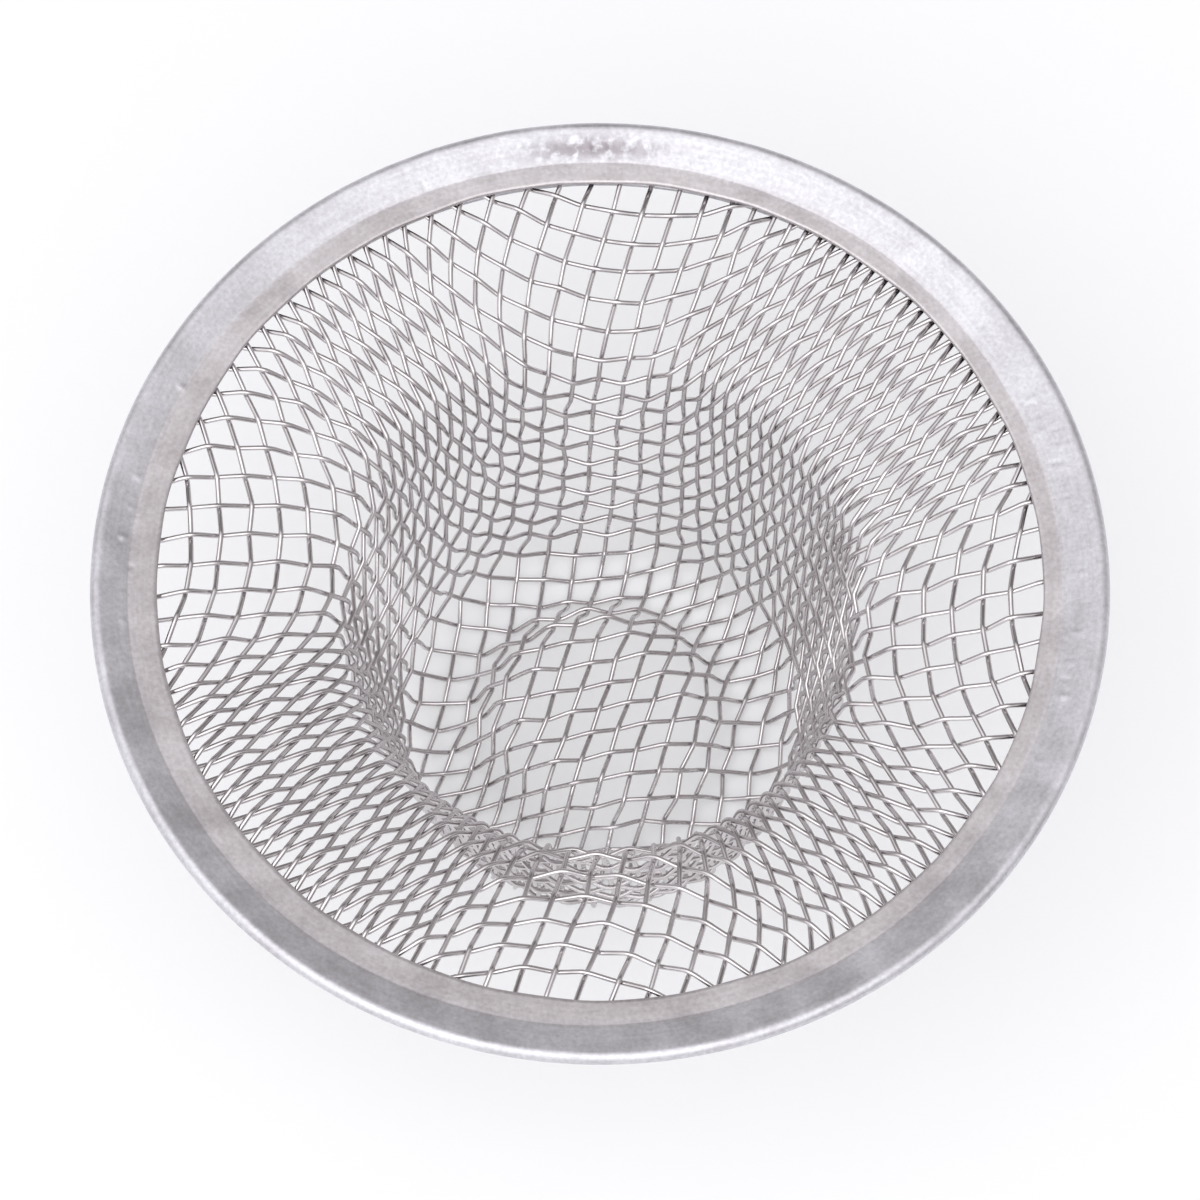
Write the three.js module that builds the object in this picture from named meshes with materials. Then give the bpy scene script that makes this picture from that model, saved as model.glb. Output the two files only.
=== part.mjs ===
// A bath drain hair catcher: a basket of woven stainless wire held in a folded stainless rim.
// Millimetres, +Z up. The basket stands on its floor at z = 0 and the rim lies level at the top.
import * as THREE from "three";

// Rim: one strip of sheet folded over the edge of the cloth, its outer part leaning up.
const RIM_DIAMETER = 70;
const RIM_WIDTH = 4.5;
const RIM_SHEET = 0.35;
const RIM_LEDGE = 1.8;
const RIM_LEAN = 25;
const LOWER_LIP_SETBACK = 0.6;
const RIM_SEGMENTS = 72;
const BEAD_SEGMENTS = 8;

// Wire cloth: plain weave, pulled off square, so the middle wires lean to each other.
const WIRE_DIAMETER = 0.4;
const WIRES_EACH_WAY = 26;
const CROSSING_GAP = 0.1;
const WEFT_HEADING = 10;
const WARP_HEADING = 72;
const LOCK_ANGLE = 34;

// Hem: how the edge of the cloth lies in the fold of the rim.
const HEM_CLEARANCE = 0.15;
const HEM_DEPTH = 1.5;
const HEM_LEVEL_RUN = 1.5;
const HEM_BEND = 3;

// Basket: a tapered cup with a raised middle in its floor, under a shallow flare.
const BASKET_HEIGHT = 29.5;
const CUP_RADIUS = 18.4;
const FLARE_DROP = 4;
const WALL_DRAFT = 8.4;
const SHOULDER_BEND = 4.5;
const CORNER_BEND = 3.2;
const FLOOR_RING = 0.5;
const KICK_HEIGHT = 3.8;
const KICK_SLOPE = 47;
const KICK_BEND = 2.2;

// A wire gets a stop of its own on the floor ring where it crosses it within this share of mid-cell.
const RING_STOP_REACH = 0.25;

// Solving the cloth: samples of its side view, spare cells past its cut edge, turns for each crossing, and
// turns and pulls of its settling.
const PROFILE_STEPS = 1200;
const SPARE_CELLS = 2;
const SOLVER_TURNS = 40;
const SETTLING_TURNS = 800;
const SIDE_PULL = 0.04;
const LOCK_PUSH = 0.1;
const BEND_PULL = 0.04;

const steel = {
  sheet: { color: 0xc9c7c8, roughness: 0.32, metalness: 1 },
  wire: { color: 0xbdbbbb, roughness: 0.28, metalness: 1 },
};

const { degToRad, clamp, lerp } = THREE.MathUtils;

const rimRadius = RIM_DIAMETER / 2;
const mouthRadius = rimRadius - RIM_WIDTH;
const clothRadius = mouthRadius + HEM_DEPTH;
const clothThickness = 2 * WIRE_DIAMETER + CROSSING_GAP;
const crossingLift = (WIRE_DIAMETER + CROSSING_GAP) / 2;
const wireSide = (WIRE_DIAMETER * Math.sqrt(Math.PI)) / 2;

// Joins rings of points along a bar into one closed body, with a flat cap on each end.
function skin(rings) {
  const count = rings[0].length;
  const end = (rings.length - 1) * count;
  const index = [];
  for (let near = 0; near < end; near += count) {
    for (let k = 0; k < count; k += 1) {
      const next = (k + 1) % count;
      index.push(near + k, near + next, near + count + next);
      index.push(near + k, near + count + next, near + count + k);
    }
  }
  for (let k = 1; k < count - 1; k += 1) {
    index.push(0, k + 1, k);
    index.push(end, end + k, end + k + 1);
  }
  const geometry = new THREE.BufferGeometry().setFromPoints(rings.flat());
  geometry.setIndex(index);
  geometry.computeVertexNormals();
  return geometry;
}

// Straight runs through the corners, each inner corner rounded to its radius.
function roundedPath(corners) {
  const path = new THREE.Path();
  path.moveTo(corners[0].x, corners[0].y);
  for (let k = 1; k < corners.length - 1; k += 1) {
    const corner = new THREE.Vector2(corners[k].x, corners[k].y);
    const arriving = corner.clone().sub(corners[k - 1]).normalize();
    const leaving = new THREE.Vector2().subVectors(corners[k + 1], corner).normalize();
    const turn = Math.atan2(arriving.cross(leaving), arriving.dot(leaving));
    const radius = corners[k].bend;
    const start = corner.addScaledVector(arriving, -radius * Math.tan(Math.abs(turn) / 2));
    const side = Math.sign(turn);
    const centre = new THREE.Vector2(-arriving.y, arriving.x).multiplyScalar(side * radius).add(start);
    const from = Math.atan2(start.y - centre.y, start.x - centre.x);
    path.lineTo(start.x, start.y);
    path.absarc(centre.x, centre.y, radius, from, from + turn, turn < 0);
  }
  const last = corners[corners.length - 1];
  path.lineTo(last.x, last.y);
  return path;
}

// Side view of the cloth from the axis outward: raised middle, floor ring, wall, flare and level hem,
// then the spare cloth that runs out past its cut edge.
function basketProfile(runOut) {
  const draft = degToRad(WALL_DRAFT);
  const shoulderHeight = BASKET_HEIGHT - FLARE_DROP;
  const floorRadius = CUP_RADIUS - shoulderHeight * Math.tan(draft);
  const cornerTangent = CORNER_BEND * Math.tan((Math.PI / 2 - draft) / 2);
  const kickTangent = KICK_BEND * Math.tan(degToRad(KICK_SLOPE) / 2);
  const kickFoot = floorRadius - cornerTangent - FLOOR_RING - kickTangent;
  const kickTop = kickFoot - KICK_HEIGHT / Math.tan(degToRad(KICK_SLOPE));
  return roundedPath([
    { x: 0, y: KICK_HEIGHT },
    { x: kickTop, y: KICK_HEIGHT, bend: KICK_BEND },
    { x: kickFoot, y: 0, bend: KICK_BEND },
    { x: floorRadius, y: 0, bend: CORNER_BEND },
    { x: CUP_RADIUS, y: shoulderHeight, bend: SHOULDER_BEND },
    { x: mouthRadius - HEM_LEVEL_RUN, y: BASKET_HEIGHT, bend: HEM_BEND },
    { x: clothRadius + runOut, y: BASKET_HEIGHT },
  ]);
}

// The wires divide the cut cloth evenly. A wire crosses the other way's wires at every second cell.
const edgeRun = basketProfile(0).getLength();
const cell = edgeRun / WIRES_EACH_WAY;
const profile = basketProfile(3 * SPARE_CELLS * cell);
const profileLength = profile.getLength();
const profileSpots = profile.getSpacedPoints(PROFILE_STEPS);
const floorRingRun = profile.getCurveLengths()[3] + FLOOR_RING / 2;

// A place on the cloth: its run along the profile and angle round the axis, with the directions there.
function place(run, angle) {
  const step = clamp(run / profileLength, 0, 1) * PROFILE_STEPS;
  const near = Math.min(Math.floor(step), PROFILE_STEPS - 1);
  const [start, end] = [profileSpots[near], profileSpots[near + 1]];
  const { x: radius, y: height } = new THREE.Vector2().lerpVectors(start, end, step - near);
  const slope = new THREE.Vector2().subVectors(end, start).normalize();
  const cos = Math.cos(angle);
  const sin = Math.sin(angle);
  return {
    run,
    angle,
    radius,
    point: new THREE.Vector3(radius * cos, radius * sin, height),
    along: new THREE.Vector3(slope.x * cos, slope.x * sin, slope.y),
    around: new THREE.Vector3(-sin, cos, 0),
    normal: new THREE.Vector3(-slope.y * cos, -slope.y * sin, slope.x),
  };
}

// The next crossing out along a middle wire, which follows a meridian of the basket.
function nextOnMeridian(last, angle) {
  let run = last.run + cell;
  for (let turn = 0; turn < SOLVER_TURNS; turn += 1) {
    run += cell - place(run, angle).point.distanceTo(last.point);
  }
  return place(run, angle);
}

// The fourth corner of a rhombic cell: one cell side from both neighbours, away from the inner corner.
function fourthCorner(first, second, inner) {
  const atPole = inner.run === 0;
  let run = atPole ? Math.hypot(first.run, second.run) : first.run + second.run - inner.run;
  let angle = atPole ? (first.angle + second.angle) / 2 : first.angle + second.angle - inner.angle;
  for (let turn = 0; turn < SOLVER_TURNS; turn += 1) {
    const here = place(run, angle);
    const toFirst = new THREE.Vector3().subVectors(here.point, first.point);
    const toSecond = new THREE.Vector3().subVectors(here.point, second.point);
    const missFirst = toFirst.length() - cell;
    const missSecond = toSecond.length() - cell;
    toFirst.normalize();
    toSecond.normalize();
    const firstAlong = toFirst.dot(here.along);
    const firstAround = toFirst.dot(here.around);
    const secondAlong = toSecond.dot(here.along);
    const secondAround = toSecond.dot(here.around);
    const shear = firstAlong * secondAround - firstAround * secondAlong;
    const stepAlong = (missSecond * firstAround - missFirst * secondAround) / shear;
    const stepAround = (missFirst * secondAlong - missSecond * firstAlong) / shear;
    run += clamp(stepAlong, -cell / 3, cell / 3);
    angle += clamp(stepAround, -cell / 3, cell / 3) / here.radius;
  }
  return place(run, angle);
}

// Crossings of the cloth by row and column from the middle, solved one quarter at a time. Every cell
// keeps its side and only shears, as wires do when flat cloth is pressed into a cup.
function clothNet(reach) {
  const weft = degToRad(WEFT_HEADING);
  const warp = degToRad(WARP_HEADING);
  const quarters = [
    { column: 1, row: 1, weft, warp },
    { column: -1, row: 1, weft: weft + Math.PI, warp },
    { column: -1, row: -1, weft: weft + Math.PI, warp: warp + Math.PI },
    { column: 1, row: -1, weft: weft + 2 * Math.PI, warp: warp + Math.PI },
  ];
  const net = new Map();
  for (const quarter of quarters) {
    const corners = [[place(0, 0)]];
    for (let i = 1; i <= reach; i += 1) {
      corners.push([nextOnMeridian(corners[i - 1][0], quarter.weft)]);
      corners[0].push(nextOnMeridian(corners[0][i - 1], quarter.warp));
    }
    for (let i = 1; i <= reach; i += 1) {
      for (let j = 1; j <= reach; j += 1) {
        const first = corners[i - 1][j];
        const second = corners[i][j - 1];
        const inside = first && second && Math.min(first.run, second.run) <= edgeRun + cell;
        corners[i].push(inside ? fourthCorner(first, second, corners[i - 1][j - 1]) : null);
      }
    }
    corners.forEach((list, i) => {
      list.forEach((crossing, j) => {
        if (crossing) {
          net.set(`${i * quarter.column},${j * quarter.row}`, crossing);
        }
      });
    });
  }
  return net;
}

// The cloth settles on the die: cell sides keep near their length, a cell stops closing where its wires
// come near each other, and a wire pulls straight where it is bent sideways.
function settle(net) {
  const sides = [];
  const diagonals = [];
  const bends = [];
  for (const [key, here] of net) {
    const [column, row] = key.split(",").map(Number);
    const at = (i, j) => net.get(`${column + i},${row + j}`);
    sides.push([here, at(1, 0)], [here, at(0, 1)]);
    diagonals.push([here, at(1, 1)], [at(1, 0), at(0, 1)]);
    bends.push([at(-1, 0), here, at(1, 0)], [at(0, -1), here, at(0, 1)]);
  }
  const lockWidth = 2 * cell * Math.sin(degToRad(LOCK_ANGLE) / 2);
  const laid = (spots) => spots.every(Boolean);
  const links = [
    ...sides.filter(laid).map(([a, b]) => ({ a, b, rest: cell, pull: SIDE_PULL, most: cell })),
    ...diagonals.filter(laid).map(([a, b]) => ({ a, b, rest: lockWidth, pull: LOCK_PUSH, most: 0 })),
  ];
  const bentWires = bends.filter(laid);
  const tugs = new Map([...net.values()].map((spot) => [spot, new THREE.Vector3()]));
  const span = new THREE.Vector3();
  for (let turn = 0; turn < SETTLING_TURNS; turn += 1) {
    for (const { a, b, rest, pull, most } of links) {
      const length = span.subVectors(b.point, a.point).length();
      span.multiplyScalar((pull * Math.min(length - rest, most)) / length);
      tugs.get(a).add(span);
      tugs.get(b).sub(span);
    }
    for (const [a, middle, b] of bentWires) {
      span.addVectors(a.point, b.point).addScaledVector(middle.point, -2).projectOnPlane(middle.normal);
      tugs.get(middle).addScaledVector(span, BEND_PULL);
      tugs.get(a).addScaledVector(span, -BEND_PULL / 2);
      tugs.get(b).addScaledVector(span, -BEND_PULL / 2);
    }
    for (const [spot, tug] of tugs) {
      if (spot.run > 0) {
        const aside = tug.dot(spot.around) / Math.max(spot.radius, cell);
        Object.assign(spot, place(spot.run + tug.dot(spot.along), spot.angle + aside));
      }
      tug.set(0, 0, 0);
    }
  }
}

// One wire of the cloth, from edge to edge: the crossings it passes and which side it takes at each.
function wireStops(net, reach, family, line) {
  const crossingAt = (step) => net.get(family === "warp" ? `${line},${step}` : `${step},${line}`);
  const sideAt = (step) => {
    const side = (line + step) % 4 === 0 ? 1 : -1;
    return (line + step) % 2 === 0 ? (family === "warp" ? side : -side) : 0;
  };
  const insideAt = (step) => crossingAt(step) && crossingAt(step).run < edgeRun;
  const steps = [];
  for (let step = -reach; step <= reach; step += 1) {
    if (insideAt(step)) {
      steps.push(step);
    }
  }
  const shareAt = (run, step, next) => {
    const from = crossingAt(step).run;
    return (run - from) / (crossingAt(next).run - from);
  };
  const stopAt = (run, step, next) => {
    const share = shareAt(run, step, next);
    const chord = new THREE.Vector3().lerpVectors(crossingAt(step).point, crossingAt(next).point, share);
    const side = lerp(sideAt(step), sideAt(next), share);
    return { ...place(run, Math.atan2(chord.y, chord.x)), side };
  };
  const first = steps[0];
  const last = steps[steps.length - 1];
  const stops = [stopAt(edgeRun, first, first - 1)];
  for (const step of steps) {
    stops.push({ ...crossingAt(step), side: sideAt(step) });
    if (step < last && Math.abs(shareAt(floorRingRun, step, step + 1) - 0.5) < RING_STOP_REACH) {
      stops.push(stopAt(floorRingRun, step, step + 1));
    }
  }
  stops.push(stopAt(edgeRun, last, last + 1));
  return stops;
}

// A wire as a square bar of the round wire's area, lifted off the middle of the cloth at each crossing.
function wireGeometry(stops) {
  const lifted = (stop) => stop.point.clone().addScaledVector(stop.normal, stop.side * crossingLift);
  const centres = stops.map(lifted);
  const half = wireSide / 2;
  const rings = centres.map((centre, k) => {
    const before = centres[Math.max(k - 1, 0)];
    const after = centres[Math.min(k + 1, centres.length - 1)];
    const heading = new THREE.Vector3().subVectors(after, before).normalize();
    const right = new THREE.Vector3().crossVectors(heading, stops[k].normal).normalize();
    const up = new THREE.Vector3().crossVectors(right, heading);
    const corner = (x, y) => centre.clone().addScaledVector(right, x).addScaledVector(up, y);
    return [corner(-half, -half), corner(-half, half), corner(half, half), corner(half, -half)];
  });
  return skin(rings);
}

// The rim turned about the axis: two parallel walls of the fold, joined round the bead at the outer edge.
function rimGeometry() {
  const inside = clothThickness / 2 + HEM_CLEARANCE;
  const outside = inside + RIM_SHEET;
  const lean = degToRad(RIM_LEAN);
  const bend = mouthRadius + RIM_LEDGE;
  const bead = new THREE.Vector2(rimRadius - outside, (rimRadius - outside - bend) * Math.tan(lean));
  const foldWall = (offset) => {
    const mitre = offset * Math.tan(lean / 2);
    const lowerLip = new THREE.Vector2(mouthRadius + LOWER_LIP_SETBACK, -offset);
    const wall = [lowerLip, new THREE.Vector2(bend + mitre, -offset)];
    for (let k = 0; k <= BEAD_SEGMENTS; k += 1) {
      const angle = lean - Math.PI / 2 + (Math.PI * k) / BEAD_SEGMENTS;
      wall.push(new THREE.Vector2(Math.cos(angle), Math.sin(angle)).multiplyScalar(offset).add(bead));
    }
    wall.push(new THREE.Vector2(bend - mitre, offset), new THREE.Vector2(mouthRadius, offset));
    return wall;
  };
  const section = [...foldWall(outside), ...foldWall(inside).reverse()];
  section.push(section[0].clone());
  const geometry = new THREE.LatheGeometry(section, RIM_SEGMENTS);
  geometry.rotateX(Math.PI / 2);
  geometry.translate(0, 0, BASKET_HEIGHT);
  return geometry;
}

// A wire's name tells its side of the middle wire and its place out from there.
function wireName(family, line) {
  const sides = family === "warp" ? ["left", "right"] : ["front", "back"];
  const number = String(Math.ceil(Math.abs(line) / 2)).padStart(2, "0");
  return line === 0 ? `${family}_wire_mid` : `${family}_wire_${sides[line < 0 ? 0 : 1]}_${number}`;
}

function addPiece(assembly, name, geometry, finish) {
  const mesh = new THREE.Mesh(geometry, new THREE.MeshStandardMaterial(finish));
  mesh.name = name;
  assembly.add(mesh);
}

const assembly = new THREE.Group();
assembly.name = "hair_catcher";
addPiece(assembly, "rim_ring", rimGeometry(), steel.sheet);

const reach = WIRES_EACH_WAY + SPARE_CELLS;
const net = clothNet(reach);
settle(net);
for (const family of ["warp", "weft"]) {
  for (let line = 1 - WIRES_EACH_WAY; line < WIRES_EACH_WAY; line += 2) {
    const geometry = wireGeometry(wireStops(net, reach, family, line));
    addPiece(assembly, wireName(family, line), geometry, steel.wire);
  }
}

// The lowest wires of the floor ring touch z = 0.
const lowest = new THREE.Box3().setFromObject(assembly).min.z;
assembly.children.forEach((mesh) => mesh.geometry.translate(0, 0, -lowest));

export default assembly;
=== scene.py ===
import math
from types import SimpleNamespace

import bpy
import numpy as np
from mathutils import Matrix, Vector


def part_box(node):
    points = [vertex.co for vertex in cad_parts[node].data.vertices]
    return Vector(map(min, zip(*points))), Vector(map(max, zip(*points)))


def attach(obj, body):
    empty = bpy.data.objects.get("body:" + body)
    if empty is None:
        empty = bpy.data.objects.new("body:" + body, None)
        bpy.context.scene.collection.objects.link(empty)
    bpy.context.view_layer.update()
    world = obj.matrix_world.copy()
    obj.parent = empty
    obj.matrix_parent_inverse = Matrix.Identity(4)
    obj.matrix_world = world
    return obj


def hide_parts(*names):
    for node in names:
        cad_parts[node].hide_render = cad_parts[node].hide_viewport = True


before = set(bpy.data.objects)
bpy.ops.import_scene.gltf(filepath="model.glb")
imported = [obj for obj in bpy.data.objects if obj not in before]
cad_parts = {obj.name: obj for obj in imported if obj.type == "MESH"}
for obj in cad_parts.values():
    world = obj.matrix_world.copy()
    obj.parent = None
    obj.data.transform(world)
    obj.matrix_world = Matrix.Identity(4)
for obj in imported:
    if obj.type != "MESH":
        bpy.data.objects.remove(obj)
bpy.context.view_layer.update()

# The wire cloth of the basket: plain-weave stainless wire, cut to a disc and pressed cold over a die.
# The wires keep their length between crossings, so the square cells shear into lozenges on the wall.
# The cut edge of the cloth lies level inside the fold of the rim, which holds it.
MM = 0.001  # sizes are in millimetres until they go into a mesh
WIRE_DIAMETER = 0.36
CROSSING_GAP = 0.1
WARP_CRIMP = 0.5
CRIMP_SHARE = 0.22
CELLS_TO_EDGE = 26
WEFT_HEADING = math.radians(10)
WARP_HEADING = math.radians(72)
BASKET_HEIGHT = 29.5
CUP_RADIUS = 18.4
FLARE_DROP = 4.0
WALL_DRAFT = math.radians(8.4)
SHOULDER_BEND = 4.5
CORNER_BEND = 3.2
FLOOR_RING = 0.5
KICK_HEIGHT = 3.8
KICK_SLOPE = math.radians(47)
KICK_BEND = 2.2
HEM_LEVEL_RUN = 1.5
HEM_BEND = 3.0
HEM_DEPTH = 1.5
RIM_WIDTH = 4.5
FOLD_HALF = 0.95
ARC_STEPS = 24
CELL_UNEVENNESS = 0.05
CLOTH_SEED = 5
SPARE_CELLS = 2
SOLVER_TURNS = 10
STRIDES_PER_CELL = 3

rim_low, rim_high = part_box("rim_ring")
rim_radius = rim_high.x / MM
hem_level = rim_low.z / MM + FOLD_HALF
floor_level = hem_level - BASKET_HEIGHT
mouth_radius = rim_radius - RIM_WIDTH
cloth_radius = mouth_radius + HEM_DEPTH


def rounded_profile(corners):
    """Radius, height and heading along a side view whose inner corners, with their bend radii, are arcs."""
    rows = []
    for (r0, z0, _), (r1, z1, bend), (r2, z2, _) in zip(corners, corners[1:], corners[2:]):
        arriving = math.atan2(z1 - z0, r1 - r0)
        turn = math.remainder(math.atan2(z2 - z1, r2 - r1) - arriving, 2 * math.pi)
        tangent = bend * math.tan(abs(turn) / 2)
        arc = math.copysign(bend, turn)
        rows = rows or [(r0, z0, arriving)]
        for heading in np.linspace(arriving, arriving + turn, ARC_STEPS + 1):
            r = r1 - tangent * math.cos(arriving) + arc * (math.sin(heading) - math.sin(arriving))
            z = z1 - tangent * math.sin(arriving) - arc * (math.cos(heading) - math.cos(arriving))
            rows.append((r, z, heading))
    rows.append((*corners[-1][:2], rows[-1][2]))
    return np.array(rows).T


floor_radius = CUP_RADIUS - (BASKET_HEIGHT - FLARE_DROP) * math.tan(WALL_DRAFT)
kick_foot = (
    floor_radius
    - CORNER_BEND * math.tan((math.pi / 2 - WALL_DRAFT) / 2)
    - FLOOR_RING
    - KICK_BEND * math.tan(KICK_SLOPE / 2)
)
radii, heights, headings = rounded_profile([
    (0.0, KICK_HEIGHT, 0.0),
    (kick_foot - KICK_HEIGHT / math.tan(KICK_SLOPE), KICK_HEIGHT, KICK_BEND),
    (kick_foot, 0.0, KICK_BEND),
    (floor_radius, 0.0, CORNER_BEND),
    (CUP_RADIUS, BASKET_HEIGHT - FLARE_DROP, SHOULDER_BEND),
    (mouth_radius - HEM_LEVEL_RUN, BASKET_HEIGHT, HEM_BEND),
    (2 * rim_radius, BASKET_HEIGHT, 0.0),
])
runs = np.r_[0.0, np.cumsum(np.hypot(np.diff(radii), np.diff(heights)))]
edge_run = float(np.interp(cloth_radius, radii, runs))
cell = edge_run / CELLS_TO_EDGE
longest_stride = cell / STRIDES_PER_CELL


def on_cloth(run, angle):
    """Places on the cloth, with the directions along its side view, around the axis and out of its face."""
    radius, height, heading = (np.interp(run, runs, column) for column in (radii, heights, headings))
    cos, sin = np.cos(angle), np.sin(angle)
    return SimpleNamespace(
        run=run,
        angle=angle,
        radius=radius,
        point=np.stack([radius * cos, radius * sin, floor_level + height], axis=-1),
        along=np.stack([np.cos(heading) * cos, np.cos(heading) * sin, np.sin(heading)], axis=-1),
        around=np.stack([-sin, cos, np.zeros_like(sin)], axis=-1),
        normal=np.stack([-np.sin(heading) * cos, -np.sin(heading) * sin, np.cos(heading)], axis=-1),
    )


def next_on_meridian(last, angle):
    """The next crossing out along a middle wire, which follows a meridian of the basket."""
    run = last.run + cell
    for _ in range(SOLVER_TURNS):
        run += cell - np.linalg.norm(on_cloth(run, angle).point - last.point)
    return on_cloth(run, angle)


def fourth_corner(first, second, inner):
    """The far corner of a lozenge: one cell side from both neighbours, away from the inner corner."""
    at_pole = inner.run == 0
    run = math.hypot(first.run, second.run) if at_pole else first.run + second.run - inner.run
    angle = (first.angle + second.angle) / 2 if at_pole else first.angle + second.angle - inner.angle
    for _ in range(SOLVER_TURNS):
        here = on_cloth(run, angle)
        to_first, to_second = here.point - first.point, here.point - second.point
        far_first, far_second = np.linalg.norm(to_first), np.linalg.norm(to_second)
        a, b = to_first @ here.along / far_first, to_first @ here.around / far_first
        c, d = to_second @ here.along / far_second, to_second @ here.around / far_second
        miss_first, miss_second, shear = far_first - cell, far_second - cell, a * d - b * c
        along = (miss_second * b - miss_first * d) / shear
        around = (miss_first * c - miss_second * a) / shear
        run += np.clip(along, -longest_stride, longest_stride)
        angle += np.clip(around, -longest_stride, longest_stride) / here.radius
    return on_cloth(run, angle)


# Crossings by column and row from the middle, solved one quarter at a time. Spare cloth past the edge
# keeps no place.
reach = CELLS_TO_EDGE + SPARE_CELLS
net_run, net_angle = np.full((2, 2 * reach + 1, 2 * reach + 1), np.nan)
for column, row, weft, warp in (
    (1, 1, WEFT_HEADING, WARP_HEADING),
    (-1, 1, WEFT_HEADING + math.pi, WARP_HEADING),
    (-1, -1, WEFT_HEADING + math.pi, WARP_HEADING + math.pi),
    (1, -1, WEFT_HEADING + 2 * math.pi, WARP_HEADING + math.pi),
):
    quarter = {(0, 0): on_cloth(0.0, 0.0)}
    for i in range(1, reach + 1):
        quarter[i, 0] = next_on_meridian(quarter[i - 1, 0], weft)
        quarter[0, i] = next_on_meridian(quarter[0, i - 1], warp)
    for i in range(1, reach + 1):
        for j in range(1, reach + 1):
            first, second = quarter.get((i - 1, j)), quarter.get((i, j - 1))
            if first and second and min(first.run, second.run) <= edge_run + cell:
                quarter[i, j] = fourth_corner(first, second, quarter[i - 1, j - 1])
    for (i, j), place in quarter.items():
        net_run[reach + i * column, reach + j * row] = place.run
        net_angle[reach + i * column, reach + j * row] = place.angle

# The cloth settles on the die: cell sides keep near their length, cells stop closing where their wires
# come near each other, and a wire pulls straight where it is bent sideways.
LOCK_ANGLE = math.radians(34)
SIDE_PULL = 0.04
LOCK_PUSH = 0.1
BEND_PULL = 0.04
SETTLING_TURNS = 800
LEAST_LENGTH = 0.001
every, low, high = slice(None), slice(None, -1), slice(1, None)
before, middle, after = slice(None, -2), slice(1, -1), slice(2, None)
lock_width = 2 * cell * math.sin(LOCK_ANGLE / 2)
laid = np.isfinite(net_run)
for _ in range(SETTLING_TURNS):
    here = on_cloth(np.nan_to_num(net_run), np.nan_to_num(net_angle))
    tug = np.zeros_like(here.point)
    for a, b, rest, strength, limit in (
        ((low, every), (high, every), cell, SIDE_PULL, cell),
        ((every, low), (every, high), cell, SIDE_PULL, cell),
        ((low, low), (high, high), lock_width, LOCK_PUSH, 0.0),
        ((low, high), (high, low), lock_width, LOCK_PUSH, 0.0),
    ):
        span = here.point[b] - here.point[a]
        length = np.linalg.norm(span, axis=-1)
        share = strength * np.minimum(length - rest, limit) / np.maximum(length, LEAST_LENGTH)
        pull = np.where(laid[a] & laid[b], share, 0.0)[..., None] * span
        tug[a] += pull
        tug[b] -= pull
    for a, m, b in (
        ((before, every), (middle, every), (after, every)),
        ((every, before), (every, middle), (every, after)),
    ):
        bend = here.point[a] + here.point[b] - 2 * here.point[m]
        bend -= np.sum(bend * here.normal[m], axis=-1, keepdims=True) * here.normal[m]
        bend *= BEND_PULL * (laid[a] & laid[m] & laid[b])[..., None]
        tug[m] += bend
        tug[a] -= bend / 2
        tug[b] -= bend / 2
    tug[reach, reach] = 0.0
    net_run += np.sum(tug * here.along, axis=-1)
    net_angle += np.sum(tug * here.around, axis=-1) / np.maximum(here.radius, cell)

# The crossings end up a little out of line.
dice = np.random.default_rng(CLOTH_SEED)
net_run += dice.normal(0.0, CELL_UNEVENNESS, net_run.shape)
net_radius = np.interp(net_run, runs, np.maximum(radii, cell))
net_angle += dice.normal(0.0, CELL_UNEVENNESS, net_run.shape) / net_radius
crossings = on_cloth(net_run, net_angle)


def wire_stops(family, line):
    """One wire from cut end to cut end: its points, the cloth's normals and the side it takes at each."""
    wire = (reach + line, every) if family == "warp" else (every, reach + line)
    run, angle, points = net_run[wire], net_angle[wire], crossings.point[wire]
    side = (-1.0) ** (line + np.arange(-reach, reach + 1)) * (1 if family == "warp" else -1)
    inside = np.flatnonzero(run < edge_run)

    def cut(step, outward):
        share = (edge_run - run[step]) / (run[step + outward] - run[step])
        x, y, _ = points[step] + (points[step + outward] - points[step]) * share
        return math.atan2(y, x), side[step] + (side[step + outward] - side[step]) * share

    (first_angle, first_side), (last_angle, last_side) = cut(inside[0], -1), cut(inside[-1], 1)
    places = on_cloth(np.r_[edge_run, run[inside], edge_run], np.r_[first_angle, angle[inside], last_angle])
    stops = np.c_[places.point, places.normal, np.r_[first_side, side[inside], last_side]]
    # The wire follows the cloth on a Catmull-Rom curve. The loom crimps a warp wire hard and close to each
    # crossing, so it runs straight from one face of the cloth to the other, and a weft wire only waves.
    longer = np.vstack([2 * stops[0] - stops[1], stops, 2 * stops[-1] - stops[-2]])
    p0, p1, p2, p3 = longer[:-3], longer[1:-2], longer[2:-1], longer[3:]
    finer = []
    for f in (0.0, CRIMP_SHARE, 1 - CRIMP_SHARE):
        row = p1 + f / 2 * (p2 - p0 + f * (2 * p0 - 5 * p1 + 4 * p2 - p3 + f * (3 * (p1 - p2) + p3 - p0)))
        risen = f if family == "warp" else f * f * (3 - 2 * f)
        row[:, -1] = p1[:, -1] + risen * (p2 - p1)[:, -1]
        finer.append(row)
    stops = np.vstack([np.stack(finer, axis=1).reshape(-1, stops.shape[1]), stops[-1:]])
    return stops, (first_angle, last_angle)


def add(tree, kind, settings, inputs):
    """Adds a node with its settings. An input takes a number, a colour or another node's socket."""
    node = tree.nodes.new(kind)
    for name, value in settings.items():
        setattr(node, name, value)
    for name, value in inputs.items():
        if isinstance(value, bpy.types.NodeSocket):
            tree.links.new(value, node.inputs[name])
        else:
            node.inputs[name].default_value = value
    return node


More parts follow.
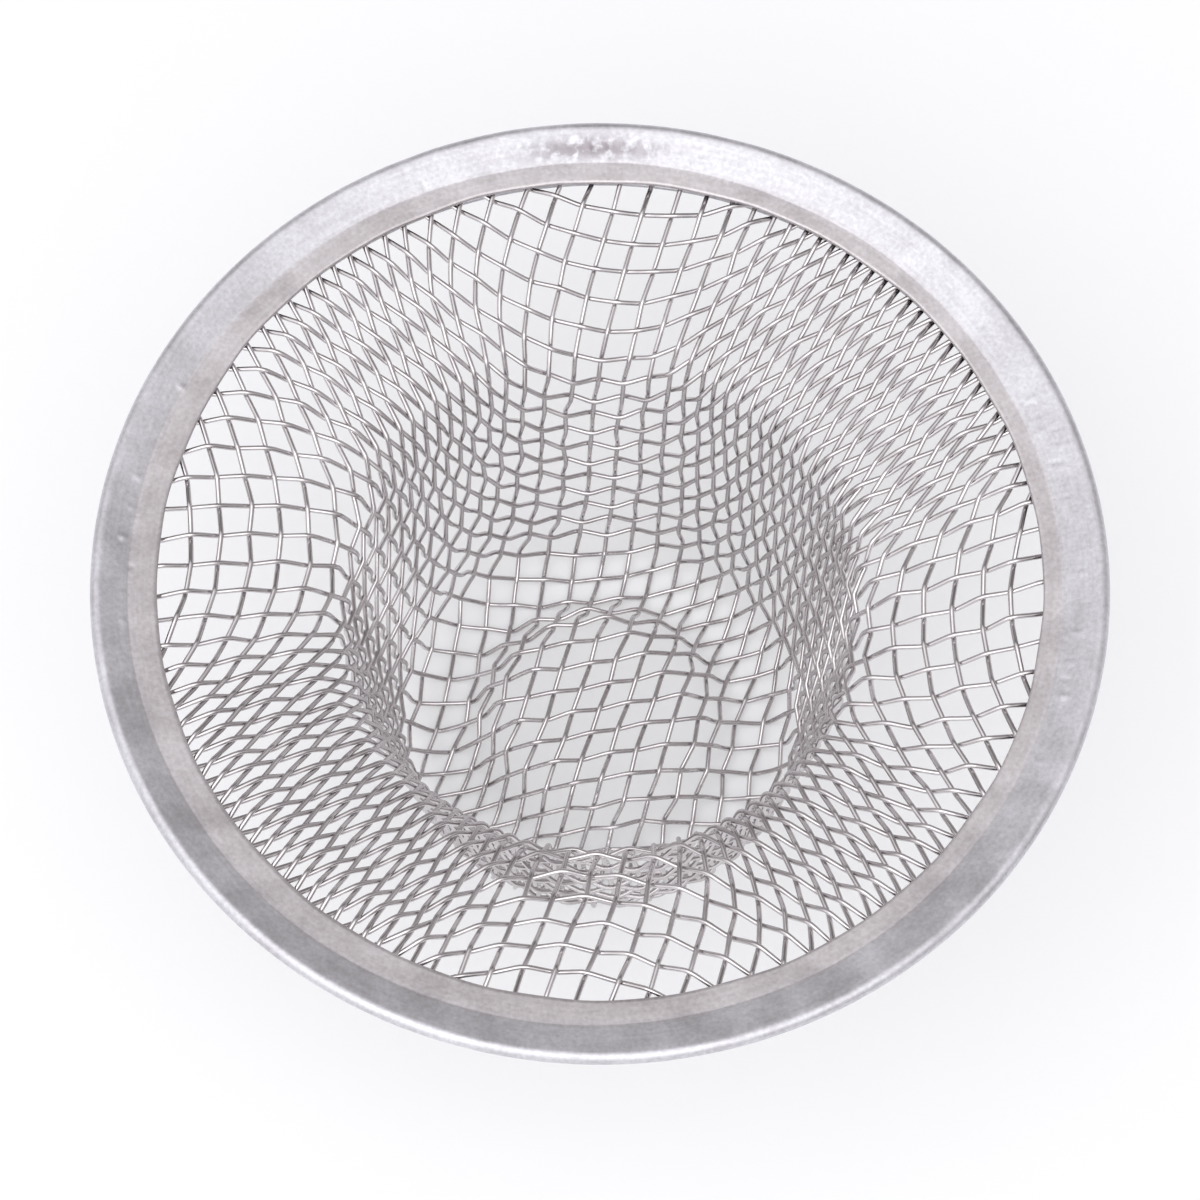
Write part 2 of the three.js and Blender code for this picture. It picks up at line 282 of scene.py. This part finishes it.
def linear(hex_colour):
    """An sRGB hex colour as linear red, green, blue and alpha."""
    parts = [int(hex_colour[k:k + 2], 16) / 255 for k in (1, 3, 5)]
    return (*(p / 12.92 if p <= 0.04045 else ((p + 0.055) / 1.055) ** 2.4 for p in parts), 1.0)


# Drawn stainless wire: the die leaves a bright skin with fine lines along the wire, and the cloth's
# rolls rub it unevenly, so its shine comes and goes from one cell to the next.
WIRE_PALE = "#dedbdc"
WIRE_DULL = "#b2acad"
WIRE_RUB_LENGTH = 3.0
WIRE_RUB_DETAIL = 2.0
WIRE_LINE_LENGTH = 1.5
WIRE_LINES_AROUND = 9.0
WIRE_LINE_DEPTH = 0.01
WIRE_LINE_STRENGTH = 0.25
WIRE_ROUGHNESS = (0.08, 0.18)
LINE_DETAIL = 1.0
# Noise keeps mostly between these two values.
NOISE_LOW, NOISE_HIGH = 0.3, 0.7

drawn_wire = bpy.data.materials.new("drawn_stainless_wire")
drawn_wire.use_nodes = True
tree = drawn_wire.node_tree
tree.nodes.clear()
place = add(tree, "ShaderNodeTexCoord", {}, {})
rub = add(tree, "ShaderNodeTexNoise", {}, {
    "Vector": place.outputs["Object"], "Scale": 1 / (WIRE_RUB_LENGTH * MM), "Detail": WIRE_RUB_DETAIL,
})
along = add(tree, "ShaderNodeAttribute", {"attribute_name": "wire_run"}, {})
turn = add(tree, "ShaderNodeAttribute", {"attribute_name": "wire_turn"}, {})
# The die lines are a hundredth of a millimetre wide on real wire and are drawn about ten times coarser.
line_run = add(tree, "ShaderNodeMath", {"operation": "MULTIPLY"}, {
    0: along.outputs["Fac"], 1: 1 / (WIRE_LINE_LENGTH * MM),
})
line_turn = add(tree, "ShaderNodeMath", {"operation": "MULTIPLY"}, {
    0: turn.outputs["Fac"], 1: WIRE_LINES_AROUND,
})
line_place = add(tree, "ShaderNodeCombineXYZ", {}, {"X": line_run.outputs[0], "Y": line_turn.outputs[0]})
lines = add(tree, "ShaderNodeTexNoise", {}, {
    "Vector": line_place.outputs[0], "Scale": 1.0, "Detail": LINE_DETAIL,
})
tint = add(tree, "ShaderNodeMix", {"data_type": "RGBA"}, {
    "Factor": rub.outputs["Fac"], 6: linear(WIRE_DULL), 7: linear(WIRE_PALE),
})
dullness = add(tree, "ShaderNodeMapRange", {}, {
    "Value": lines.outputs["Fac"], "From Min": NOISE_LOW, "From Max": NOISE_HIGH,
    "To Min": WIRE_ROUGHNESS[0], "To Max": WIRE_ROUGHNESS[1],
})
grooves = add(tree, "ShaderNodeBump", {}, {
    "Height": lines.outputs["Fac"], "Strength": WIRE_LINE_STRENGTH, "Distance": WIRE_LINE_DEPTH * MM,
})
wire_skin = add(tree, "ShaderNodeBsdfPrincipled", {}, {
    "Metallic": 1.0, "Base Color": tint.outputs[2], "Roughness": dullness.outputs[0],
    "Normal": grooves.outputs[0],
})
add(tree, "ShaderNodeOutputMaterial", {}, {"Surface": wire_skin.outputs[0]})

# Each wire is swept along its stops, lifted over or under the wire it crosses at each one.
weave = bpy.data.node_groups.new("woven_wire", "GeometryNodeTree")
for name, kind in (
    ("Stops", "NodeSocketGeometry"),
    ("Wire Radius", "NodeSocketFloat"),
    ("Lift", "NodeSocketFloat"),
    ("Steps Per Stop", "NodeSocketInt"),
    ("Wire Sides", "NodeSocketInt"),
    ("Finish", "NodeSocketMaterial"),
):
    weave.interface.new_socket(name, in_out="INPUT", socket_type=kind)
weave.interface.new_socket("Wires", in_out="OUTPUT", socket_type="NodeSocketGeometry")
given = add(weave, "NodeGroupInput", {}, {})
face = add(weave, "GeometryNodeInputNamedAttribute", {"data_type": "FLOAT_VECTOR"}, {
    "Name": "cloth_normal",
})
side = add(weave, "GeometryNodeInputNamedAttribute", {"data_type": "FLOAT"}, {"Name": "side"})
rise = add(weave, "ShaderNodeMath", {"operation": "MULTIPLY"}, {
    0: side.outputs["Attribute"], 1: given.outputs["Lift"],
})
offset = add(weave, "ShaderNodeVectorMath", {"operation": "SCALE"}, {
    0: face.outputs["Attribute"], "Scale": rise.outputs[0],
})
lifted = add(weave, "GeometryNodeSetPosition", {}, {
    "Geometry": given.outputs["Stops"], "Offset": offset.outputs[0],
})
paths = add(weave, "GeometryNodeMeshToCurve", {}, {"Mesh": lifted.outputs[0]})
smooth = add(weave, "GeometryNodeCurveSplineType", {"spline_type": "CATMULL_ROM"}, {
    "Curve": paths.outputs[0],
})
fine = add(weave, "GeometryNodeSetSplineResolution", {}, {
    "Geometry": smooth.outputs[0], "Resolution": given.outputs["Steps Per Stop"],
})
parameter = add(weave, "GeometryNodeSplineParameter", {}, {})
measured = add(weave, "GeometryNodeStoreNamedAttribute", {"data_type": "FLOAT", "domain": "POINT"}, {
    "Geometry": fine.outputs[0], "Name": "wire_run", "Value": parameter.outputs["Length"],
})
round_section = add(weave, "GeometryNodeCurvePrimitiveCircle", {"mode": "RADIUS"}, {
    "Resolution": given.outputs["Wire Sides"], "Radius": given.outputs["Wire Radius"],
})
turned = add(weave, "GeometryNodeStoreNamedAttribute", {"data_type": "FLOAT", "domain": "POINT"}, {
    "Geometry": round_section.outputs[0], "Name": "wire_turn", "Value": parameter.outputs["Factor"],
})
swept = add(weave, "GeometryNodeCurveToMesh", {}, {
    "Curve": measured.outputs[0], "Profile Curve": turned.outputs[0], "Fill Caps": True,
})
shaded = add(weave, "GeometryNodeSetShadeSmooth", {}, {"Geometry": swept.outputs[0]})
real = add(weave, "GeometryNodeRealizeInstances", {}, {"Geometry": shaded.outputs[0]})
coated = add(weave, "GeometryNodeSetMaterial", {}, {
    "Geometry": real.outputs[0], "Material": given.outputs["Finish"],
})
add(weave, "NodeGroupOutput", {}, {"Wires": coated.outputs[0]})

STEPS_PER_STOP = 2
WIRE_SIDES = 8
wire_ends = {}
for family, crimp in (("warp", WARP_CRIMP), ("weft", 1 - WARP_CRIMP)):
    wires = [wire_stops(family, line) for line in range(1 - CELLS_TO_EDGE, CELLS_TO_EDGE)]
    wire_ends[family] = [angle for _, ends in wires for angle in ends]
    firsts = np.cumsum([0] + [len(stops) for stops, _ in wires])
    edges = [(k, k + 1) for a, b in zip(firsts, firsts[1:]) for k in range(a, b - 1)]
    stops = np.concatenate([stops for stops, _ in wires])
    places, normals, sides = stops[:, 0:3], stops[:, 3:6], stops[:, 6]
    mesh = bpy.data.meshes.new(f"{family}_wires")
    mesh.from_pydata(places * MM, edges, [])
    mesh.attributes.new("cloth_normal", "FLOAT_VECTOR", "POINT").data.foreach_set("vector", normals.ravel())
    mesh.attributes.new("side", "FLOAT", "POINT").data.foreach_set("value", sides.ravel())
    piece = bpy.data.objects.new(f"{family}_wires", mesh)
    bpy.context.scene.collection.objects.link(piece)
    sweep = piece.modifiers.new("weave", "NODES")
    sweep.node_group = weave
    values = {
        "Wire Radius": WIRE_DIAMETER / 2 * MM,
        "Lift": crimp * (WIRE_DIAMETER + CROSSING_GAP) * MM,
        "Steps Per Stop": STEPS_PER_STOP,
        "Wire Sides": WIRE_SIDES,
        "Finish": drawn_wire,
    }
    for socket in weave.interface.items_tree:
        if socket.in_out == "INPUT" and socket.name in values:
            sweep[socket.identifier] = values[socket.name]
    seen = piece.evaluated_get(bpy.context.evaluated_depsgraph_get())
    piece.data = bpy.data.meshes.new_from_object(seen)
    piece.modifiers.clear()
    piece.data.name = f"{family}_wires"
    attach(piece, "root")
    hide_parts(*[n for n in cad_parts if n.startswith(f"{family}_wire_")])

# The rim: one strip of thin stainless sheet, folded over the edge of the cloth and rolled tight round it.
# Outside the crease it leans up to a pinched bead; inside it a flatter band is pressed down on the cloth.
# The crease is rolled a little off centre, and handling and the wire ends leave small dents and bumps.
RIM_SHEET = 0.35
RIM_LEDGE = 1.6
LEDGE_LEAN = math.radians(6)
UNDERLAP = 0.6
BEAD_HALF = 0.55
CREASE_SHIFT = 0.38
CREASE_SHIFT_HEADING = math.radians(205)
CREASE_WAVE = 0.06
CREASE_RIPPLES = 7
CREASE_RIPPLE_PHASE = 1.0
CREASE_SWELLS = 3
CREASE_BEND = 0.45
LIP_ROUND = 0.07
LIP_WAVE = 0.025
LIP_RIPPLES_AND_PHASES = ((11, 0.0), (17, 2.0), (29, 4.0))
RIM_SEGMENTS = 1400
CREASE_STEPS = 4
BAND_STEPS = 9
HIDDEN_BAND_STEPS = 1
BEAD_STEPS = 10

ring = np.linspace(0, 2 * math.pi, RIM_SEGMENTS, endpoint=False)
crease_at = (
    mouth_radius
    + RIM_LEDGE
    + CREASE_SHIFT * np.cos(ring - CREASE_SHIFT_HEADING)
    + CREASE_WAVE * np.sin(CREASE_RIPPLES * ring + CREASE_RIPPLE_PHASE) * np.sin(CREASE_SWELLS * ring)
)
lip_ripple = sum(np.sin(count * ring + phase) for count, phase in LIP_RIPPLES_AND_PHASES)
lip_at = mouth_radius + LIP_WAVE * lip_ripple
bead_at = np.array([rim_radius - BEAD_HALF, rim_high.z / MM - hem_level - BEAD_HALF])


def between(start, end, steps):
    """The rings of points that divide the way from one ring to another."""
    return [start + (end - start) * share for share in np.linspace(0, 1, steps + 1)[1:-1]]


def level_ring(radius, height):
    """A ring of the section, with its radius and its height all the way round."""
    return np.array([radius + np.zeros_like(ring), height + np.zeros_like(ring)])


def crease(height, ledge_slope, lean):
    """The rings of the crease, which bends from the slope of the ledge to the lean of the outer band."""
    tangent = CREASE_BEND * np.tan((lean - ledge_slope) / 2)
    foot = crease_at - tangent * math.cos(ledge_slope), height - tangent * math.sin(ledge_slope)
    slopes = [ledge_slope + (lean - ledge_slope) * share for share in np.linspace(0, 1, CREASE_STEPS + 1)]
    return [
        np.array([
            foot[0] + CREASE_BEND * (np.sin(slope) - math.sin(ledge_slope)),
            foot[1] - CREASE_BEND * (np.cos(slope) - math.cos(ledge_slope)),
        ])
        for slope in slopes
    ]


def fold_face(half, bead_half, band_steps):
    """One face of the folded sheet, from the lower lip out round the bead and back in to the upper lip."""
    out = bead_at[0] - crease_at
    upper = np.arctan2(bead_at[1] - half, out) + np.arcsin(bead_half / np.hypot(out, bead_at[1] - half))
    lower = np.arctan2(bead_at[1] + half, out) - np.arcsin(bead_half / np.hypot(out, bead_at[1] + half))
    bead = []
    for share in np.linspace(0, 1, BEAD_STEPS + 1):
        turn = lower - math.pi / 2 + (upper - lower + math.pi) * share
        bead.append(np.array([
            bead_at[0] + bead_half * np.cos(turn),
            bead_at[1] + bead_half * np.sin(turn),
        ]))
    over = crease(half, LEDGE_LEAN, upper)[::-1]
    under_lip = level_ring(mouth_radius + UNDERLAP + LIP_ROUND, -half)
    over_lip = level_ring(lip_at + LIP_ROUND, half - (crease_at - lip_at) * math.tan(LEDGE_LEAN))
    return [
        under_lip, *crease(-half, 0.0, lower), *bead, *between(bead[-1], over[0], band_steps),
        *over, *between(over[-1], over_lip, band_steps), over_lip,
    ]


fold_inside = FOLD_HALF - RIM_SHEET
outer_face = fold_face(FOLD_HALF, BEAD_HALF, BAND_STEPS)
inner_face = fold_face(fold_inside, BEAD_HALF - RIM_SHEET, HIDDEN_BAND_STEPS)
section = np.array([
    *outer_face,
    level_ring(lip_at, outer_face[-1][1] - LIP_ROUND),
    level_ring(lip_at, inner_face[-1][1] + LIP_ROUND),
    *inner_face[::-1],
    level_ring(mouth_radius + UNDERLAP, -fold_inside - LIP_ROUND),
    level_ring(mouth_radius + UNDERLAP, -FOLD_HALF + LIP_ROUND),
])
section_r, section_z = section[:, 0], section[:, 1]

# Each mark in the sheet has a heading, a radius, a size and a height: bumps over the wire ends, a patch
# of dents at the back, a few nicks and a faint waviness all round.
MARK_MEAN = 0.4
MARK_VARIATION = 0.6
BUMP_HEIGHT = 0.08
BUMP_SIZE = 0.2
BUMP_REACH = math.radians(28)
BUMP_SETBACK = 2.2
BUMP_STRAY = 0.3
DENT_COUNT = 44
DENT_DEPTH = 0.08
DENT_SIZE = 0.17
DENT_HEADING = math.radians(87)
DENT_SPREAD = math.radians(5)
DENT_SETBACK = 1.9
DENT_STRAY = 0.4
NICK_COUNT = 18
NICK_DEPTH = 0.06
NICK_SIZE = 0.16
NICK_SETBACKS = (1.0, 2.6)
WAVE_COUNT = 320
WAVE_HEIGHT = 0.02
WAVE_SIZE = 1.1
MARKS_SEED = 7
dice = np.random.default_rng(MARKS_SEED)
marks = [
    (
        angle,
        rim_radius - dice.normal(BUMP_SETBACK, BUMP_STRAY),
        BUMP_SIZE,
        BUMP_HEIGHT * dice.normal(MARK_MEAN, MARK_VARIATION),
    )
    for angle in wire_ends["weft"]
    if abs(math.remainder(angle, math.pi)) < BUMP_REACH
]
marks += [
    (
        dice.normal(DENT_HEADING, DENT_SPREAD),
        rim_radius - dice.normal(DENT_SETBACK, DENT_STRAY),
        DENT_SIZE,
        DENT_DEPTH * dice.normal(-MARK_MEAN, MARK_VARIATION),
    )
    for _ in range(DENT_COUNT)
]
marks += [
    (dice.uniform(0, 2 * math.pi), rim_radius - dice.uniform(*NICK_SETBACKS), NICK_SIZE, -NICK_DEPTH)
    for _ in range(NICK_COUNT)
]
marks += [
    (
        dice.uniform(0, 2 * math.pi),
        rim_radius - dice.uniform(0, RIM_WIDTH),
        WAVE_SIZE,
        dice.normal(0, WAVE_HEIGHT),
    )
    for _ in range(WAVE_COUNT)
]
relief = np.zeros_like(section_r)
for heading, radius, size, height in marks:
    away = np.remainder(ring - heading + math.pi, 2 * math.pi) - math.pi
    squared = (away * radius) ** 2 + (section_r - radius) ** 2
    relief += height * np.exp(-squared / size ** 2)
section_z = section_z + np.where(section_z > 0, relief, 0.0)

points = np.stack([section_r * np.cos(ring), section_r * np.sin(ring), section_z + hem_level], axis=-1)
count = len(section)
faces = []
for k in range(count):
    for s in range(RIM_SEGMENTS):
        near, far = s, (s + 1) % RIM_SEGMENTS
        here, there = k * RIM_SEGMENTS, (k + 1) % count * RIM_SEGMENTS
        faces.append((here + near, here + far, there + far, there + near))
mesh = bpy.data.meshes.new("rim")
mesh.from_pydata(points.reshape(-1, 3) * MM, [], faces)
mesh.shade_smooth()

# The painted shade of the ledge fades in across the crease, half way at its middle. A patch of painted
# shade lies over the dents at the back.
DENT_SHADE_HEADING = math.radians(91)
DENT_SHADE_SPREAD = math.radians(9)
DENT_SHADE_SETBACK = 2.0
DENT_SHADE_WIDTH = 0.9
ledge = np.clip((crease_at - section_r) / CREASE_BEND + 0.5, 0.0, 1.0) * (section_z > 0)
mesh.attributes.new("ledge", "FLOAT", "POINT").data.foreach_set("value", ledge.ravel())
dent_shade_along = (ring - DENT_SHADE_HEADING) / DENT_SHADE_SPREAD
dent_shade_across = (rim_radius - DENT_SHADE_SETBACK - section_r) / DENT_SHADE_WIDTH
dent_shade = np.exp(-dent_shade_along ** 2 - dent_shade_across ** 2)
mesh.attributes.new("dent_shade", "FLOAT", "POINT").data.foreach_set("value", dent_shade.ravel())
rim = bpy.data.objects.new("rim", mesh)
bpy.context.scene.collection.objects.link(rim)

# Rolled stainless sheet: a satin skin from the rolls, with a fine grain and faint lines along the strip,
# and pale and dull patches where handling has rubbed it. The ledge is painted darker and warmer, a
# painted shade and warm reflection, and darker spots over the dents at the back are painted shade.
SHEET_PALE = "#e4e4e8"
SHEET_DULL = "#c7c5c9"
# painted shade and warm reflection, multiplied into the ledge's colour
LEDGE_SHADE_TINT = "#f6f2ef"
# painted shade: the colour of the darker spots over the dents at the back
DENT_SHADE_TINT = "#9f989d"
SPOT_SIZE = 0.75
SPOT_DETAIL = 3.0
SPOT_EDGE = (0.38, 0.55)
PATCH_SIZE = 4.0
PATCH_DETAIL = 5.0
PATCH_ROUGHNESS = 0.6
PATCH_PALENESS = (0.12, 0.88)
GRAIN_SIZE = 0.3
GRAIN_DETAIL = 2.0
LINE_SPACING = 0.25
LINE_LENGTH = 8.0
LINE_SHARE = 0.3
SPECKLE = 0.4
GRIT_DEPTH = 0.02
GRIT_STRENGTH = 0.7
SHEET_ROUGHNESS = (0.46, 0.58)
rolled_sheet = bpy.data.materials.new("rolled_stainless_sheet")
rolled_sheet.use_nodes = True
tree = rolled_sheet.node_tree
tree.nodes.clear()
place = add(tree, "ShaderNodeTexCoord", {}, {})
patches = add(tree, "ShaderNodeTexNoise", {}, {
    "Vector": place.outputs["Object"], "Scale": 1 / (PATCH_SIZE * MM),
    "Detail": PATCH_DETAIL, "Roughness": PATCH_ROUGHNESS,
})
# The grain of the rolls is a hundredth of a millimetre on real sheet, and is drawn about thirty times
# coarser.
grain = add(tree, "ShaderNodeTexNoise", {}, {
    "Vector": place.outputs["Object"], "Scale": 1 / (GRAIN_SIZE * MM), "Detail": GRAIN_DETAIL,
})
# The lines vary fast across the strip, which is along the radius, and slowly along it.
level_place = add(tree, "ShaderNodeVectorMath", {"operation": "MULTIPLY"}, {
    0: place.outputs["Object"], 1: (1.0, 1.0, 0.0),
})
from_axis = add(tree, "ShaderNodeVectorMath", {"operation": "LENGTH"}, {0: level_place.outputs[0]})
across = add(tree, "ShaderNodeMath", {"operation": "MULTIPLY"}, {
    0: from_axis.outputs["Value"], 1: 1 / (LINE_SPACING * MM),
})
lengthways = add(tree, "ShaderNodeVectorMath", {"operation": "SCALE"}, {
    0: level_place.outputs[0], "Scale": 1 / (LINE_LENGTH * MM),
})
upwards = add(tree, "ShaderNodeCombineXYZ", {}, {"Z": across.outputs[0]})
line_place = add(tree, "ShaderNodeVectorMath", {"operation": "ADD"}, {
    0: lengthways.outputs[0], 1: upwards.outputs[0],
})
lines = add(tree, "ShaderNodeTexNoise", {}, {
    "Vector": line_place.outputs[0], "Scale": 1.0, "Detail": LINE_DETAIL,
})
texture = add(tree, "ShaderNodeMix", {"data_type": "FLOAT"}, {
    0: LINE_SHARE, 2: grain.outputs["Fac"], 3: lines.outputs["Fac"],
})
speckle = add(tree, "ShaderNodeMapRange", {}, {
    "Value": texture.outputs[0], "From Min": NOISE_LOW, "From Max": NOISE_HIGH,
    "To Min": -SPECKLE, "To Max": SPECKLE,
})
rubbed = add(tree, "ShaderNodeMapRange", {}, {
    "Value": patches.outputs["Fac"], "From Min": NOISE_LOW, "From Max": NOISE_HIGH,
    "To Min": PATCH_PALENESS[0], "To Max": PATCH_PALENESS[1],
})
pale = add(tree, "ShaderNodeMath", {"operation": "ADD", "use_clamp": True}, {
    0: rubbed.outputs[0], 1: speckle.outputs[0],
})
tint = add(tree, "ShaderNodeMix", {"data_type": "RGBA"}, {
    "Factor": pale.outputs[0], 6: linear(SHEET_DULL), 7: linear(SHEET_PALE),
})
on_ledge = add(tree, "ShaderNodeAttribute", {"attribute_name": "ledge"}, {})
# Painted shade: the ledge's colour is multiplied by a darker, warmer tint that stands for the band's dimmer
# reflection.
shaded_ledge = add(tree, "ShaderNodeMix", {"data_type": "RGBA", "blend_type": "MULTIPLY"}, {
    "Factor": on_ledge.outputs["Fac"], 6: tint.outputs[2], 7: linear(LEDGE_SHADE_TINT),
})
spots = add(tree, "ShaderNodeTexNoise", {}, {
    "Vector": place.outputs["Object"], "Scale": 1 / (SPOT_SIZE * MM), "Detail": SPOT_DETAIL,
})
spotted = add(tree, "ShaderNodeMapRange", {}, {
    "Value": spots.outputs["Fac"], "From Min": SPOT_EDGE[0], "From Max": SPOT_EDGE[1],
    "To Min": 0.0, "To Max": 1.0,
})
# Painted shade: darker spots from the spot noise are mixed in over the dents at the back.
dent_shade_mask = add(tree, "ShaderNodeAttribute", {"attribute_name": "dent_shade"}, {})
dent_shade_spots = add(tree, "ShaderNodeMath", {"operation": "MULTIPLY"}, {
    0: spotted.outputs[0], 1: dent_shade_mask.outputs["Fac"],
})
colour = add(tree, "ShaderNodeMix", {"data_type": "RGBA"}, {
    "Factor": dent_shade_spots.outputs[0], 6: shaded_ledge.outputs[2], 7: linear(DENT_SHADE_TINT),
})
dullness = add(tree, "ShaderNodeMapRange", {}, {
    "Value": patches.outputs["Fac"], "From Min": NOISE_LOW, "From Max": NOISE_HIGH,
    "To Min": SHEET_ROUGHNESS[0], "To Max": SHEET_ROUGHNESS[1],
})
grit = add(tree, "ShaderNodeBump", {}, {
    "Height": texture.outputs[0], "Strength": GRIT_STRENGTH, "Distance": GRIT_DEPTH * MM,
})
sheet_skin = add(tree, "ShaderNodeBsdfPrincipled", {}, {
    "Metallic": 1.0, "Base Color": colour.outputs[2], "Roughness": dullness.outputs[0],
    "Normal": grit.outputs[0],
})
add(tree, "ShaderNodeOutputMaterial", {}, {"Surface": sheet_skin.outputs[0]})
mesh.materials.append(rolled_sheet)
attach(rim, "root")
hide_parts("rim_ring")

# The floor: a plain white sheet of paper, laid flat and far past the view, that the basket stands on.
# It keeps the soft shadow of the basket, and glows a little where the camera or the metal sees it.
FLOOR_HALF = 2000.0
FLOOR_GLOW = 0.3
FLOOR_WHITE = "#f7f8fa"
mesh = bpy.data.meshes.new("floor")
half = FLOOR_HALF * MM
corners = [(-half, -half, 0.0), (half, -half, 0.0), (half, half, 0.0), (-half, half, 0.0)]
mesh.from_pydata(corners, [], [(0, 1, 2, 3)])
floor = bpy.data.objects.new("floor", mesh)
bpy.context.scene.collection.objects.link(floor)
white_sheet = bpy.data.materials.new("white_paper")
white_sheet.use_nodes = True
tree = white_sheet.node_tree
tree.nodes.clear()
paper = add(tree, "ShaderNodeBsdfDiffuse", {}, {"Color": linear(FLOOR_WHITE)})
glow = add(tree, "ShaderNodeEmission", {}, {"Color": (1.0, 1.0, 1.0, 1.0), "Strength": 1.0})
ray = add(tree, "ShaderNodeLightPath", {}, {})
seen_or_shiny = add(tree, "ShaderNodeMath", {"operation": "MAXIMUM"}, {
    0: ray.outputs["Is Camera Ray"], 1: ray.outputs["Is Glossy Ray"],
})
lit = add(tree, "ShaderNodeMath", {"operation": "MAXIMUM"}, {
    0: seen_or_shiny.outputs[0], 1: ray.outputs["Is Transmission Ray"],
})
share = add(tree, "ShaderNodeMath", {"operation": "MULTIPLY"}, {0: lit.outputs[0], 1: FLOOR_GLOW})
both = add(tree, "ShaderNodeMixShader", {}, {0: share.outputs[0], 1: paper.outputs[0], 2: glow.outputs[0]})
add(tree, "ShaderNodeOutputMaterial", {}, {"Surface": both.outputs[0]})
mesh.materials.append(white_sheet)

# The studio: a broad soft light overhead, towards the front left, in a dim room with a paler wall behind
# and a white card on the right, and one large lamp from the front. A light comes up between the two
# cosines of its ramp.
KEY_HEADING = Vector((-0.3, -0.45, 0.84)).normalized()
KEY_RAMP = (0.25, 0.9)
SKY_BRIGHT = "#fdfcff"
SKY_DIM = "#6e6a6a"
WALL_SHARE = 0.45
WALL_TOP = 0.7
WALL_RAMP = (-0.2, 0.6)
CARD_HEADING = Vector((0.75, -0.1, 0.65)).normalized()
CARD_RAMP = (0.75, 0.97)
CARD_SHARE = 0.37
SKY_STRENGTH = 1.42
LAMP_HEADING = Vector((-0.12, -0.42, 0.9)).normalized()
LAMP_DISTANCE = 700.0
LAMP_WIDTH = 700.0
LAMP_DEPTH = 600.0
LAMP_WATTS = 1.3
world = bpy.data.worlds.new("studio")
bpy.context.scene.world = world
world.use_nodes = True
tree = world.node_tree
tree.nodes.clear()
place = add(tree, "ShaderNodeTexCoord", {}, {})
towards = add(tree, "ShaderNodeVectorMath", {"operation": "DOT_PRODUCT"}, {
    0: place.outputs["Generated"], 1: KEY_HEADING,
})
overhead = add(tree, "ShaderNodeMapRange", {"interpolation_type": "SMOOTHSTEP"}, {
    "Value": towards.outputs["Value"], "From Min": KEY_RAMP[0], "From Max": KEY_RAMP[1],
    "To Min": 0.0, "To Max": 1.0,
})
split = add(tree, "ShaderNodeSeparateXYZ", {}, {"Vector": place.outputs["Generated"]})
low_down = add(tree, "ShaderNodeMapRange", {"interpolation_type": "SMOOTHSTEP"}, {
    "Value": split.outputs["Z"], "From Min": 0.0, "From Max": WALL_TOP,
    "To Min": WALL_SHARE, "To Max": 0.0,
})
behind = add(tree, "ShaderNodeMapRange", {"interpolation_type": "SMOOTHSTEP"}, {
    "Value": split.outputs["Y"], "From Min": WALL_RAMP[0], "From Max": WALL_RAMP[1],
    "To Min": 0.0, "To Max": 1.0,
})
wall = add(tree, "ShaderNodeMath", {"operation": "MULTIPLY"}, {
    0: low_down.outputs[0], 1: behind.outputs[0],
})
to_card = add(tree, "ShaderNodeVectorMath", {"operation": "DOT_PRODUCT"}, {
    0: place.outputs["Generated"], 1: CARD_HEADING,
})
card = add(tree, "ShaderNodeMapRange", {"interpolation_type": "SMOOTHSTEP"}, {
    "Value": to_card.outputs["Value"], "From Min": CARD_RAMP[0], "From Max": CARD_RAMP[1],
    "To Min": 0.0, "To Max": CARD_SHARE,
})
room = add(tree, "ShaderNodeMath", {"operation": "MAXIMUM"}, {0: wall.outputs[0], 1: card.outputs[0]})
shine = add(tree, "ShaderNodeMath", {"operation": "MAXIMUM"}, {
    0: overhead.outputs[0], 1: room.outputs[0],
})
sky = add(tree, "ShaderNodeMix", {"data_type": "RGBA"}, {
    "Factor": shine.outputs[0], 6: linear(SKY_DIM), 7: linear(SKY_BRIGHT),
})
glow = add(tree, "ShaderNodeBackground", {}, {"Color": sky.outputs[2], "Strength": SKY_STRENGTH})
add(tree, "ShaderNodeOutputWorld", {}, {"Surface": glow.outputs[0]})

lamp = bpy.data.lights.new("softbox", "AREA")
lamp.shape = "RECTANGLE"
lamp.size = LAMP_WIDTH * MM
lamp.size_y = LAMP_DEPTH * MM
lamp.energy = LAMP_WATTS
softbox = bpy.data.objects.new("softbox", lamp)
softbox.location = LAMP_HEADING * LAMP_DISTANCE * MM
softbox.rotation_mode = "QUATERNION"
softbox.rotation_quaternion = (-LAMP_HEADING).to_track_quat("-Z", "Y")
bpy.context.scene.collection.objects.link(softbox)

# The camera looks down into the basket from the front. It aims at the level of the hem, a little nearer
# than its middle, and its lens is set so that the view is FRAME_WIDTH wide there.
CAMERA_RISE = math.radians(67.5)
CAMERA_DISTANCE = 250.0
FRAME_WIDTH = 82.6
AIM_FORWARD = 1.8
camera = bpy.data.objects.new("camera", bpy.data.cameras.new("camera"))
back = Vector((0.0, -math.cos(CAMERA_RISE), math.sin(CAMERA_RISE)))
camera.location = (Vector((0.0, -AIM_FORWARD, hem_level)) + back * CAMERA_DISTANCE) * MM
camera.rotation_mode = "QUATERNION"
camera.rotation_quaternion = (-back).to_track_quat("-Z", "Y")
camera.data.lens = camera.data.sensor_width * CAMERA_DISTANCE / FRAME_WIDTH
bpy.context.scene.collection.objects.link(camera)
bpy.context.scene.camera = camera
bpy.context.scene.view_settings.view_transform = "Standard"
